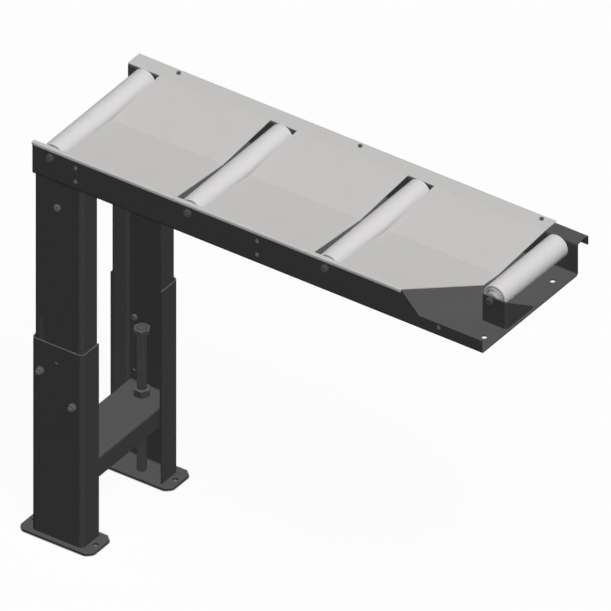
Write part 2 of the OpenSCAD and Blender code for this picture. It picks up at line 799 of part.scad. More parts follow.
module lower_post_near() { on_near() lower_post(); }
module foot_plate_near() { on_near() foot_plate(); }
module clamp_studs_near() { on_near() clamp_studs(); }
module clamp_washers_near() { on_near() clamp_washers(); }
module clamp_nuts_near() { on_near() clamp_nuts(); }
module lower_post_far() { on_far() lower_post(); }
module foot_plate_far() { on_far() foot_plate(); }
module clamp_studs_far() { on_far() clamp_studs(); }
module clamp_washers_far() { on_far() clamp_washers(); }
module clamp_nuts_far() { on_far() clamp_nuts(); }
module jack_screw_near() { on_near() jack_screw(); }
module jack_head_nut_near() { on_near() jack_head_nut(); }
module jack_screw_far() { on_far() jack_screw(); }
module jack_head_nut_far() { on_far() jack_head_nut(); }

bed_pan();
drip_tray();
tray_screws();
tray_nuts();
end_bracket();
axle_1();
axle_2();
axle_3();
axle_4();
axle_collars();
bearing_inner_races();
axle_bolts();
axle_washers();
upper_post_near();
upper_post_far();
crossbar();
jack_lock_nuts();
jack_weld_nuts();
hanger_near();
hanger_far();
hanger_bolts();
hanger_washers();
hanger_nuts();
roller_1_tube();
roller_1_end_cups();
roller_1_outer_races();
roller_1_balls();
roller_1_shields();
roller_2_tube();
roller_2_end_cups();
roller_2_outer_races();
roller_2_balls();
roller_2_shields();
roller_3_tube();
roller_3_end_cups();
roller_3_outer_races();
roller_3_balls();
roller_3_shields();
roller_4_tube();
roller_4_end_cups();
roller_4_outer_races();
roller_4_balls();
roller_4_shields();
lower_post_near();
foot_plate_near();
clamp_studs_near();
clamp_washers_near();
clamp_nuts_near();
lower_post_far();
foot_plate_far();
clamp_studs_far();
clamp_washers_far();
clamp_nuts_far();
jack_screw_near();
jack_head_nut_near();
jack_screw_far();
jack_head_nut_far();
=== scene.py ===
"""Finishes, threads, weld seams and studio for a roller conveyor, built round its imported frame.

The frame's axes are used throughout: +X runs along the bed to the machine, -Y is the near side and
+Z is up. Sizes are written in millimetres and turned to metres where a mesh is made.
"""

import json
import logging
import math
from dataclasses import dataclass
from enum import Enum

import bmesh
import bpy
from mathutils import Matrix, Vector


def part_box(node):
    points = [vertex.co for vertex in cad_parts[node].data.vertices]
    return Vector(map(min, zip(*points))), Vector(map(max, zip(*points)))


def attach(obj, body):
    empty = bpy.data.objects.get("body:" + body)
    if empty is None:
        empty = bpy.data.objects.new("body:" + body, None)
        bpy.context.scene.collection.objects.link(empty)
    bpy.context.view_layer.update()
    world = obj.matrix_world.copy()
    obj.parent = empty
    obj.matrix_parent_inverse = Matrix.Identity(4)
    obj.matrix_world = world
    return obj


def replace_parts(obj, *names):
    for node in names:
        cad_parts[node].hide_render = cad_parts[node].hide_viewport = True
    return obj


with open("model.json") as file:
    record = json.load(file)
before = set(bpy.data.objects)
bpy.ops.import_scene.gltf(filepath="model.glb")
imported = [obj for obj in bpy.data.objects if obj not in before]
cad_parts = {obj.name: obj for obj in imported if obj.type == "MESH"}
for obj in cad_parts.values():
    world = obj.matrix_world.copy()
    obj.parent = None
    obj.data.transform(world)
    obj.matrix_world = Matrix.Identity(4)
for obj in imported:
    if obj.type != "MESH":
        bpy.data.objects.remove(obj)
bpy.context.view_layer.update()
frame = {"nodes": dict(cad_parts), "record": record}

log = logging.getLogger("conveyor")

MM = 0.001
SHARP_DEG = 42.0
ROUND_SIDES = 40

# The noise of the fine grain and of the slow patches
GRAIN_DETAIL = 3.0
GRAIN_ROUGHNESS = 0.55
PATCH_DETAIL = 2.0

# A thread's ridge: its section's width at the root and at the crest, in pitches, and its points in a turn
RIDGE_ROOT = 0.86
RIDGE_CREST = 0.14
RIDGE_STEPS = 20

# A weld seam: the distance of its rings in ripples, how far it swells, and its sides
SEAM_STEP = 0.25
SEAM_SWELL = 0.12
SEAM_SIDES = 10

SLOT_OF = {row["node"]: row["material_slot"] for row in frame["record"]["subparts"]}

Colour = tuple[float, float, float, float]


class Side(Enum):
    """The two sides of the bed, with the sign of their Y."""

    NEAR = -1
    FAR = 1

    @property
    def word(self) -> str:
        """The side's word, as the node and body names spell it."""
        return self.name.lower()


class Grain(Enum):
    """How a worked surface's fine lines run, as the squeeze of its pattern along X, Y and Z."""

    ALONG_X = (0.02, 1.0, 1.0)
    AROUND_Y = (0.03, 1.0, 0.03)
    NONE = (1.0, 1.0, 1.0)


def linear(hex_colour: str) -> Colour:
    """Turn an sRGB colour into the linear one that a shader takes.

    Args:
        hex_colour: Six hex digits after a hash sign.

    Returns:
        Red, green, blue and full alpha, linear.
    """
    parts = [int(hex_colour[i : i + 2], 16) / 255 for i in (1, 3, 5)]
    red, green, blue = (p / 12.92 if p <= 0.04045 else ((p + 0.055) / 1.055) ** 2.4 for p in parts)
    return (red, green, blue, 1.0)


def per_metre(size_mm: float) -> float:
    """Give the texture scale whose features measure about a size in millimetres."""
    return 1.0 / (size_mm * MM)


def add(tree: bpy.types.NodeTree, kind: str, sockets: dict | None = None, **fields: object) -> bpy.types.Node:
    """Add one node to a tree, with its fields, its values and its links.

    Args:
        tree: The tree that gets the node.
        kind: The node's type.
        sockets: Input name or number to a value, or to the output that feeds it.
        **fields: The node's own fields.

    Returns:
        The new node.
    """
    node = tree.nodes.new(kind)
    for name, value in fields.items():
        setattr(node, name, value)
    for key, value in (sockets or {}).items():
        if isinstance(value, bpy.types.NodeSocket):
            tree.links.new(value, node.inputs[key])
        else:
            node.inputs[key].default_value = value
    return node


@dataclass(frozen=True)
class Finish:
    """A painted or metal surface, with slow changes of shade and a fine grain.

    Attributes:
        name: The material's name.
        colour: The surface's colour.
        shade: The darker colour that patches and grain mix in.
        metallic: How much of a metal the shader takes it for.
        roughness: The middle of its roughness.
        specular: The strength of the gloss of what isn't metal.
        patch_mm: The size of the slow patches.
        grain_mm: The size of the fine grain.
        grain: How the grain's lines run.
        grain_height_mm: How high the grain stands.
        grain_contrast: The grain's share in the mix of colour and shade. The patches have the rest.
        gloss_swing: How far the grain moves the roughness, up and down.
    """

    name: str
    colour: str
    shade: str
    metallic: float
    roughness: float
    specular: float = 0.5
    patch_mm: float = 90.0
    grain_mm: float = 1.5
    grain: Grain = Grain.NONE
    grain_height_mm: float = 0.03
    grain_contrast: float = 0.3
    gloss_swing: float = 0.1

    def material(self) -> bpy.types.Material:
        """Build the material, or return it where it is already built.

        Returns:
            The material with this finish's name.
        """
        found = bpy.data.materials.get(self.name)
        if found:
            return found
        material = bpy.data.materials.new(self.name)
        material.use_nodes = True
        tree = material.node_tree
        tree.nodes.clear()
        place = add(tree, "ShaderNodeTexCoord").outputs["Object"]
        stretched = add(tree, "ShaderNodeMapping", {"Vector": place, "Scale": self.grain.value}).outputs[0]
        grain = add(tree, "ShaderNodeTexNoise", {
            "Vector": stretched, "Scale": per_metre(self.grain_mm), "Detail": GRAIN_DETAIL,
            "Roughness": GRAIN_ROUGHNESS,
        }).outputs[0]
        gloss = add(tree, "ShaderNodeMapRange", {
            "Value": grain,
            "To Min": self.roughness - self.gloss_swing, "To Max": self.roughness + self.gloss_swing,
        }).outputs[0]
        relief = add(tree, "ShaderNodeBump", {
            "Height": grain, "Distance": self.grain_height_mm * MM, "Strength": 1.0,
        }).outputs[0]
        shader = add(tree, "ShaderNodeBsdfPrincipled", {
            "Base Color": self.tint(tree, place, grain),
            "Metallic": self.metallic,
            "Roughness": gloss,
            "Specular IOR Level": self.specular,
            "Normal": relief,
        })
        add(tree, "ShaderNodeOutputMaterial", {"Surface": shader.outputs["BSDF"]})
        return material

    def tint(self, tree: bpy.types.NodeTree, place: bpy.types.NodeSocket,
             grain: bpy.types.NodeSocket) -> bpy.types.NodeSocket:
        """Mix the colour and its shade by slow patches and the fine grain.

        Args:
            tree: The material's tree.
            place: The point on the surface.
            grain: The fine grain, from 0 to 1.

        Returns:
            The colour's socket.
        """
        patches = add(tree, "ShaderNodeTexNoise", {
            "Vector": place, "Scale": per_metre(self.patch_mm), "Detail": PATCH_DETAIL,
        }).outputs[0]
        share = add(tree, "ShaderNodeMix", {0: self.grain_contrast, 2: patches, 3: grain}).outputs[0]
        return add(tree, "ShaderNodeMix", {
            0: share, 6: linear(self.colour), 7: linear(self.shade),
        }, data_type="RGBA").outputs[2]


@dataclass(frozen=True)
class RubbedCoat(Finish):
    """A dark finish painted lighter on what faces up, as painted top light, and lighter along its upper edges,
    partly as handling wear and partly as a painted highlight.

    Attributes:
        dust: The colour that what faces up is painted in, as painted top light.
        dust_from: The upward part of the normal at which the painted top light begins.
        dust_to: The upward part at which the painted top light is whole.
        rubbed: The upper edges' lighter colour, partly handling wear and partly a painted highlight.
        rub_mm: How far that lighter colour reaches from an edge.
        rub_share: How much of that lighter colour an edge gets.
        edge_from: The dot product of the rounded and the true normal at which an edge begins.
        edge_to: The dot product at which an edge is whole.
        upper_from: The upward part of the rounded normal at which an edge begins to be lightened.
        upper_to: The upward part at which it is lightened in full.
    """

    # Painted top light: what faces up is painted in this lighter colour, as if lit from above
    dust: str = "#565657"
    dust_from: float = 0.1
    dust_to: float = 0.95
    # Upper edges painted lighter: partly handling wear, partly a painted highlight
    rubbed: str = "#8a8a8c"
    rub_mm: float = 1.1
    rub_share: float = 0.55
    edge_from: float = 0.98
    edge_to: float = 0.75
    upper_from: float = 0.2
    upper_to: float = 0.6

    def tint(self, tree: bpy.types.NodeTree, place: bpy.types.NodeSocket,
             grain: bpy.types.NodeSocket) -> bpy.types.NodeSocket:
        """Paint what faces up lighter, as painted top light, and the upper edges lighter, partly as wear and
        partly as a painted highlight.

        An edge is where a rounded normal leaves the true one.

        Args:
            tree: The material's tree.
            place: The point on the surface.
            grain: The fine grain, from 0 to 1.

        Returns:
            The colour's socket.
        """
        true = add(tree, "ShaderNodeNewGeometry").outputs["Normal"]
        level = add(tree, "ShaderNodeSeparateXYZ", {0: true}).outputs["Z"]
        # Painted top light: the more a face looks up, the more of the lighter colour it gets
        top_light_share = add(tree, "ShaderNodeMapRange", {
            "Value": level, "From Min": self.dust_from, "From Max": self.dust_to,
        }).outputs[0]
        coat = add(tree, "ShaderNodeMix", {
            0: top_light_share, 6: super().tint(tree, place, grain), 7: linear(self.dust),
        }, data_type="RGBA").outputs[2]
        # Upper edges painted lighter: partly handling wear, partly a painted highlight
        rounded = add(tree, "ShaderNodeBevel", {"Radius": self.rub_mm * MM}, samples=4).outputs[0]
        facing = add(tree, "ShaderNodeVectorMath", {0: rounded, 1: true},
                     operation="DOT_PRODUCT").outputs["Value"]
        edge = add(tree, "ShaderNodeMapRange", {
            "Value": facing, "From Min": self.edge_from, "From Max": self.edge_to,
            "To Min": 0.0, "To Max": self.rub_share,
        }).outputs[0]
        rise = add(tree, "ShaderNodeSeparateXYZ", {0: rounded}).outputs["Z"]
        upper = add(tree, "ShaderNodeMapRange", {
            "Value": rise, "From Min": self.upper_from, "From Max": self.upper_to,
        }).outputs[0]
        share = add(tree, "ShaderNodeMath", {0: edge, 1: upper}, operation="MULTIPLY").outputs[0]
        return add(tree, "ShaderNodeMix", {
            0: share, 6: coat, 7: linear(self.rubbed),
        }, data_type="RGBA").outputs[2]


# Polyester powder coat, sprayed and baked: an even dark grey, nearly matt, with a fine orange peel
# Its tops are painted lighter as painted top light, and its upper edges partly as wear, partly as a painted
# highlight
POWDER_COAT = RubbedCoat(
    "powder_coat", "#49494a", "#474748", metallic=0.0, roughness=0.6, specular=0.01,
    patch_mm=160.0, grain_mm=1.6, grain_height_mm=0.02, grain_contrast=0.3,
)
# Hot-dip zinc on rolled sheet: pale and matt, with faint rolling lines along the bed
GALVANISED_SHEET = Finish(
    "galvanised_sheet", "#c6c5c4", "#c1c0bf", metallic=0.05, roughness=0.6, specular=0.2,
    patch_mm=45.0, grain_mm=1.4, grain=Grain.ALONG_X, grain_height_mm=0.008, grain_contrast=0.35,
)
# Centreless-ground tube with bright zinc: the palest metal, with fine rings round its axis
GROUND_TUBE = Finish(
    "ground_tube", "#d6d4d5", "#d1cfd0", metallic=0.05, roughness=0.6, specular=0.12,
    patch_mm=30.0, grain_mm=1.2, grain=Grain.AROUND_Y, grain_height_mm=0.006, grain_contrast=0.5,
)
# Turned free-cutting steel: bright, with tool rings
TURNED_STEEL = Finish(
    "turned_steel", "#b8b6b7", "#a4a2a3", metallic=0.15, roughness=0.45, specular=0.2,
    patch_mm=14.0, grain_mm=0.8, grain_height_mm=0.008, grain_contrast=0.5,
)
# Ground bearing steel: a smooth bright ring
BEARING_STEEL = Finish(
    "bearing_steel", "#c4c4c6", "#b8b8bb", metallic=1.0, roughness=0.22,
    patch_mm=10.0, grain_mm=0.6, grain_height_mm=0.003, grain_contrast=0.3,
)
# Pressed steel shield: dull, with a film of oil
PRESSED_SHIELD = Finish(
    "pressed_shield", "#88888a", "#79797c", metallic=0.8, roughness=0.42,
    patch_mm=8.0, grain_mm=0.7, grain_height_mm=0.004, grain_contrast=0.4,
)
# Zinc plate on the posts' bolts, dulled by years of oil and dust: a step lighter than the coat
ZINC_PLATE = Finish(
    "zinc_plate", "#6c6c6d", "#606062", metallic=0.1, roughness=0.5, specular=0.2,
    patch_mm=8.0, grain_mm=0.8, grain_height_mm=0.005, grain_contrast=0.4,
)
# Black oxide on the jacks' nuts, painted lighter on top as painted top light, and along the upper edges partly
# as spanner wear, partly as a painted highlight
WORN_OXIDE = RubbedCoat(
    "worn_oxide", "#4e4e4f", "#464647", metallic=0.05, roughness=0.5, specular=0.15,
    dust="#5e5e5f", rubbed="#939394", rub_mm=1.0, rub_share=0.6,
    patch_mm=10.0, grain_mm=0.9, grain_height_mm=0.006, grain_contrast=0.4,
)
# Black oxide on bolts and nuts, dry: as dark as the coat, with a slightly closer sheen
BLACK_OXIDE = Finish(
    "black_oxide", "#575758", "#4d4d4f", metallic=0.1, roughness=0.5, specular=0.15,
    patch_mm=9.0, grain_mm=0.9, grain_height_mm=0.006, grain_contrast=0.4,
)
# Black oxide under oil, on the jack screws: near black with a low gleam
# Its flat top ends are painted lighter as painted top light, and its upper edges faintly lighter, partly wear,
# partly a painted highlight
OILED_OXIDE = RubbedCoat(
    "oiled_oxide", "#3e3e3f", "#353536", metallic=0.05, roughness=0.45, specular=0.12,
    dust="#5c5c5d", dust_from=0.95, dust_to=0.99, rub_share=0.1,
    patch_mm=12.0, grain_mm=0.9, grain_height_mm=0.006, grain_contrast=0.4,
)

# The finish of each of the record's material slots
FINISHES = {
    "frame_paint": POWDER_COAT,
    "tray_sheet": GALVANISED_SHEET,
    "roller_steel": GROUND_TUBE,
    "cup_steel": TURNED_STEEL,
    "axle_steel": TURNED_STEEL,
    "bearing_steel": BEARING_STEEL,
    "bearing_shield": PRESSED_SHIELD,
    "fastener_black": BLACK_OXIDE,
    "fastener_zinc": ZINC_PLATE,
    "jack_black": WORN_OXIDE,
}


def dress(body: str) -> None:
    """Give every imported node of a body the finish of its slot.

    Args:
        body: The body's name.
    """
    nodes = frame["record"]["behaviour"]["bodies"][body]
    for name in nodes:
        mesh = frame["nodes"][name].data
        mesh.materials.clear()
        mesh.materials.append(FINISHES[SLOT_OF[name]].material())
    log.info("%s: %d nodes dressed", body, len(nodes))


def new_tree(name: str, sizes: dict[str, str]) -> tuple[bpy.types.GeometryNodeTree, bpy.types.Node]:
    """Start a geometry node tree with named inputs.

    Args:
        name: The tree's name.
        sizes: Input name to socket type.

    Returns:
        The tree and its group input node.
    """
    tree = bpy.data.node_groups.new(name, "GeometryNodeTree")
    tree.interface.new_socket("Geometry", in_out="INPUT", socket_type="NodeSocketGeometry")
    for label, kind in sizes.items():
        tree.interface.new_socket(label, in_out="INPUT", socket_type=kind)
    tree.interface.new_socket("Geometry", in_out="OUTPUT", socket_type="NodeSocketGeometry")
    return tree, add(tree, "NodeGroupInput")


def close_tree(tree: bpy.types.GeometryNodeTree, shape: bpy.types.NodeSocket,
               finish: bpy.types.NodeSocket) -> None:
    """End a geometry node tree in real faces with their material.

    Args:
        tree: The tree.
        shape: The geometry made so far.
        finish: The group input that holds the material.
    """
    real = add(tree, "GeometryNodeRealizeInstances", {0: shape}).outputs[0]
    painted = add(tree, "GeometryNodeSetMaterial", {"Geometry": real, "Material": finish}).outputs[0]
    add(tree, "NodeGroupOutput", {0: painted})


def bake(name: str, tree: bpy.types.GeometryNodeTree, values: dict[str, object],
         guide: bpy.types.Mesh | None = None) -> bpy.types.Mesh:
    """Run a geometry node tree once and keep its result as a plain mesh.

    Args:
        name: The mesh's name.
        tree: The tree.
        values: Input name to value.
        guide: The mesh that the tree starts from, where it needs one.

    Returns:
        The mesh.
    """
    carrier = bpy.data.objects.new(name, guide or bpy.data.meshes.new(name))
    bpy.context.scene.collection.objects.link(carrier)
    modifier = carrier.modifiers.new("Nodes", "NODES")
    modifier.node_group = tree
    for item in tree.interface.items_tree:
        if item.item_type == "SOCKET" and item.in_out == "INPUT" and item.name in values:
            modifier[item.identifier] = values[item.name]
    graph = bpy.context.evaluated_depsgraph_get()
    mesh = bpy.data.meshes.new_from_object(carrier.evaluated_get(graph), depsgraph=graph)
    carrier.modifiers.clear()
    bpy.data.objects.remove(carrier)
    return mesh


def fix(name: str, meshes: list[bpy.types.Mesh], finish: Finish, body: str) -> bpy.types.Object:
    """Join meshes into one piece and fix it to a body.

    Args:
        name: The piece's name.
        meshes: Its meshes, already in place. They are used up.
        finish: Its finish.
        body: The body that it rides on.

    Returns:
        The piece.
    """
    shape = bmesh.new()
    for part in meshes:
        shape.from_mesh(part)
        bpy.data.meshes.remove(part)
    mesh = bpy.data.meshes.new(name)
    shape.to_mesh(mesh)
    shape.free()
    mesh.shade_smooth()
    mesh.set_sharp_from_angle(angle=math.radians(SHARP_DEG))
    mesh.materials.append(finish.material())
    piece = bpy.data.objects.new(name, mesh)
    bpy.context.scene.collection.objects.link(piece)
    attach(piece, body)
    log.info("%s: %d faces on %s", name, len(mesh.polygons), body)
    return piece


def thread_tree() -> bpy.types.GeometryNodeTree:
    """Build the tree of a threaded rod that stands on the origin.

    A spiral carries the thread's ridge, whose section is a trapezoid, round a plain core.

    Returns:
        The tree.
    """
    tree, given = new_tree("threaded_rod", {
        "Root Radius": "NodeSocketFloat", "Depth": "NodeSocketFloat", "Pitch": "NodeSocketFloat",
        "Length": "NodeSocketFloat", "Finish": "NodeSocketMaterial",
    })
    size = given.outputs
    rise = add(tree, "ShaderNodeMath", {0: size["Length"], 1: size["Pitch"]}, operation="SUBTRACT").outputs[0]
    turns = add(tree, "ShaderNodeMath", {0: rise, 1: size["Pitch"]}, operation="DIVIDE").outputs[0]
    middle = add(tree, "ShaderNodeMath", {0: size["Depth"], 1: 0.5, 2: size["Root Radius"]},
                 operation="MULTIPLY_ADD").outputs[0]
    half_pitch = add(tree, "ShaderNodeMath", {0: size["Pitch"], 1: 0.5}, operation="MULTIPLY").outputs[0]
    half_length = add(tree, "ShaderNodeMath", {0: size["Length"], 1: 0.5}, operation="MULTIPLY").outputs[0]
    foot = add(tree, "ShaderNodeMath", {0: size["Pitch"], 1: RIDGE_ROOT}, operation="MULTIPLY").outputs[0]
    crest = add(tree, "ShaderNodeMath", {0: size["Pitch"], 1: RIDGE_CREST}, operation="MULTIPLY").outputs[0]
    spiral = add(tree, "GeometryNodeCurveSpiral", {
        "Resolution": RIDGE_STEPS, "Rotations": turns, "Start Radius": middle, "End Radius": middle,
        "Height": rise,
    }).outputs[0]
    upright = add(tree, "GeometryNodeSetCurveNormal", {"Curve": spiral}, mode="Z_UP").outputs[0]
    section = add(tree, "GeometryNodeCurvePrimitiveQuadrilateral", {
        "Height": size["Depth"], "Bottom Width": foot, "Top Width": crest, "Offset": 0.0,
    }, mode="TRAPEZOID").outputs[0]
    outward = add(tree, "GeometryNodeTransform", {
        "Geometry": section, "Rotation": (0.0, 0.0, math.radians(90.0)),
    }).outputs[0]
    ridge = add(tree, "GeometryNodeCurveToMesh", {
        "Curve": upright, "Profile Curve": outward, "Fill Caps": True,
    }).outputs[0]
    ridge_at = add(tree, "ShaderNodeCombineXYZ", {2: half_pitch}).outputs[0]
    lifted = add(tree, "GeometryNodeTransform", {"Geometry": ridge, "Translation": ridge_at}).outputs[0]
    core = add(tree, "GeometryNodeMeshCylinder", {
        "Vertices": ROUND_SIDES, "Radius": size["Root Radius"], "Depth": size["Length"],
    }).outputs["Mesh"]
    core_at = add(tree, "ShaderNodeCombineXYZ", {2: half_length}).outputs[0]
    stood = add(tree, "GeometryNodeTransform", {"Geometry": core, "Translation": core_at}).outputs[0]
    rod = add(tree, "GeometryNodeJoinGeometry")
    for part in (lifted, stood):
        tree.links.new(part, rod.inputs[0])
    close_tree(tree, rod.outputs[0], size["Finish"])
    return tree


def seam_tree() -> bpy.types.GeometryNodeTree:
    """Build the tree of a rippled weld seam that follows the edges of its guide mesh.

    Returns:
        The tree.
    """
    tree, given = new_tree("weld_seam", {
        "Bead Radius": "NodeSocketFloat", "Ripple": "NodeSocketFloat", "Finish": "NodeSocketMaterial",
    })
    size = given.outputs
    line = add(tree, "GeometryNodeMeshToCurve", {0: size["Geometry"]}).outputs[0]
    step = add(tree, "ShaderNodeMath", {0: size["Ripple"], 1: SEAM_STEP}, operation="MULTIPLY").outputs[0]
    fine = add(tree, "GeometryNodeResampleCurve", {"Curve": line, "Length": step}, mode="LENGTH").outputs[0]
    run = add(tree, "GeometryNodeSplineParameter").outputs["Length"]
    wave = add(tree, "ShaderNodeMath", {0: size["Ripple"], 1: math.tau}, operation="DIVIDE").outputs[0]
    phase = add(tree, "ShaderNodeMath", {0: run, 1: wave}, operation="DIVIDE").outputs[0]
    swing = add(tree, "ShaderNodeMath", {0: phase}, operation="SINE").outputs[0]
    swell = add(tree, "ShaderNodeMath", {0: swing, 1: SEAM_SWELL, 2: 1.0}, operation="MULTIPLY_ADD").outputs[0]
    thick = add(tree, "ShaderNodeMath", {0: swell, 1: size["Bead Radius"]}, operation="MULTIPLY").outputs[0]
    section = add(tree, "GeometryNodeCurvePrimitiveCircle", {
        "Resolution": SEAM_SIDES, "Radius": 1.0,
    }).outputs[0]
    swept = add(tree, "GeometryNodeCurveToMesh", {
        "Curve": fine, "Profile Curve": section, "Scale": thick, "Fill Caps": True,
    }).outputs[0]
    close_tree(tree, swept, size["Finish"])
    return tree


def floor_tree() -> bpy.types.GeometryNodeTree:
    """Build the tree that brings a flat floor to the lower foot plate, however far the legs are drawn out.

    Returns:
        The tree.
    """
    tree, start = new_tree("floor_level", {})
    lows = []
    for side in Side:
        plate = frame["nodes"][f"foot_plate_{side.word}"]
        stands = add(tree, "GeometryNodeObjectInfo", {"Object": plate}, transform_space="RELATIVE")
        corner = add(tree, "GeometryNodeBoundBox", {"Geometry": stands.outputs["Geometry"]}).outputs["Min"]
        lows.append(add(tree, "ShaderNodeSeparateXYZ", {0: corner}).outputs["Z"])
    level = add(tree, "ShaderNodeMath", {0: lows[0], 1: lows[1]}, operation="MINIMUM").outputs[0]
    lift = add(tree, "ShaderNodeCombineXYZ", {"Z": level}).outputs[0]
    moved = add(tree, "GeometryNodeSetPosition", {"Geometry": start.outputs[0], "Offset": lift}).outputs[0]
    add(tree, "NodeGroupOutput", {0: moved})
    return tree


def path_mesh(name: str, paths: list[list[Vector]]) -> bpy.types.Mesh:
    """Make a mesh of bare edges along open paths.

    Args:
        name: The mesh's name.
        paths: The points of each path, in metres.

    Returns:
        The mesh.
    """
    points = [point for path in paths for point in path]
    edges, first = [], 0
    for path in paths:
        edges += [(first + i, first + i + 1) for i in range(len(path) - 1)]
        first += len(path)
    mesh = bpy.data.meshes.new(name)
    mesh.from_pydata(points, edges, [])
    return mesh


def lathe(name: str, outline_mm: list[tuple[float, float]], sides: int) -> bpy.types.Mesh:
    """Turn an outline round +Z into a closed mesh.

    Args:
        name: The mesh's name.
        outline_mm: Radius and height of each point, from the lower pole up the outside to the upper pole.
        sides: How many flats make the round.

    Returns:
        The mesh.
    """
    turns = [math.tau * i / sides for i in range(sides)]
    shape = bmesh.new()
    rings = []
    for radius, height in outline_mm:
        if radius == 0.0:
            rings.append([shape.verts.new((0.0, 0.0, height * MM))] * sides)
        else:
            rings.append([shape.verts.new((
                radius * MM * math.cos(turn), radius * MM * math.sin(turn), height * MM,
            )) for turn in turns])
    for lower, upper in zip(rings, rings[1:]):
        for i in range(sides):
            j = (i + 1) % sides
            shape.faces.new(list(dict.fromkeys([lower[i], lower[j], upper[j], upper[i]])))
    mesh = bpy.data.meshes.new(name)
    shape.to_mesh(mesh)
    shape.free()
    return mesh


@dataclass(frozen=True)
class Thread:
    """A metric thread, cut or rolled on a rod.

    Attributes:
        across_mm: The crests' diameter.
        pitch_mm: The rise of one turn.
        depth_share: The thread's depth, in pitches.
    """

    across_mm: float
    pitch_mm: float
    depth_share: float = 0.6134

    def rod(self, name: str, length_m: float, finish: Finish) -> bpy.types.Mesh:
        """Make a threaded rod that stands on the origin.

        Args:
            name: The mesh's name.
            length_m: The rod's length in metres.
            finish: Its finish.

        Returns:
            The mesh.
        """
        depth = self.depth_share * self.pitch_mm
        tree = bpy.data.node_groups.get("threaded_rod") or thread_tree()
        return bake(name, tree, {
            "Root Radius": (self.across_mm / 2 - depth) * MM, "Depth": depth * MM,
            "Pitch": self.pitch_mm * MM, "Length": length_m, "Finish": finish.material(),
        })


@dataclass(frozen=True)
class WeldSeam:
    """A fillet laid along inside corners and coated with the frame.

    Attributes:
        bead_mm: The bead's radius.
        ripple_mm: The length of one ripple.
    """

    bead_mm: float = 1.5
    ripple_mm: float = 2.6

    def lay(self, name: str, paths: list[list[Vector]], body: str) -> None:
        """Lay the seam and fix it to a body.

        Args:
            name: The piece's name.
            paths: The corners that it fills, in metres.
            body: The body that it rides on.
        """
        tree = bpy.data.node_groups.get("weld_seam") or seam_tree()
        bead = bake(name, tree, {
            "Bead Radius": self.bead_mm * MM, "Ripple": self.ripple_mm * MM, "Finish": POWDER_COAT.material(),
        }, path_mesh(f"{name}_path", paths))
        fix(name, [bead], POWDER_COAT, body)


@dataclass
class Bed:
    """The pan, its tray, bracket, axles, posts and crossbar, and the seams that hold them.

    Attributes:
        seam: The kind of seam.
        sheet_mm: The thickness of the pan's and the bracket's sheet.
    """

    seam: WeldSeam = WeldSeam()
    sheet_mm: float = 3.0

    def build(self) -> None:
        """Dress the bed's nodes and lay its seams."""
        dress("bed")
        self.seam.lay("bed_seams", [*self.crossbar_ends(), *self.hanger_edges(), self.bracket_foot()], "bed")

    def crossbar_ends(self) -> list[list[Vector]]:
        """Follow the crossbar's top edge where it meets the posts' webs.

        Returns:
            One path for each end.
        """
        low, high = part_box("crossbar")
        flat = (high.x - low.x) / 2 - 2 * self.sheet_mm * MM
        middle = (low.x + high.x) / 2
        return [[Vector((middle - flat, y, high.z)), Vector((middle + flat, y, high.z))]
                for y in (low.y, high.y)]

    def hanger_edges(self) -> list[list[Vector]]:
        """Follow the free edge of each hanger's upper leg under the pan.

        Returns:
            One path for each hanger.
        """
        paths = []
        for side in Side:
            low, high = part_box(f"hanger_{side.word}")
            y = high.y if side is Side.NEAR else low.y
            paths.append([Vector((low.x, y, high.z)), Vector((high.x, y, high.z))])
        return paths

    def bracket_foot(self) -> list[Vector]:
        """Follow the bracket's inside corner on the pan's floor.

        Returns:
            The path.
        """
        low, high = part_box("end_bracket")
        sheet = self.sheet_mm * MM
        return [
            Vector((low.x, low.y + sheet, low.z)),
            Vector((high.x - 2 * sheet, low.y + sheet, low.z)),
            Vector((high.x - sheet, low.y + 2 * sheet, low.z)),
            Vector((high.x - sheet, high.y, low.z)),
        ]


@dataclass
class Rollers:
    """The rollers, with their cups and bearings.

    Attributes:
        count: How many there are.
    """

    count: int = 4

    def build(self) -> None:
        """Dress every roller's nodes."""
        for i in range(1, self.count + 1):
            dress(f"roller_{i}")


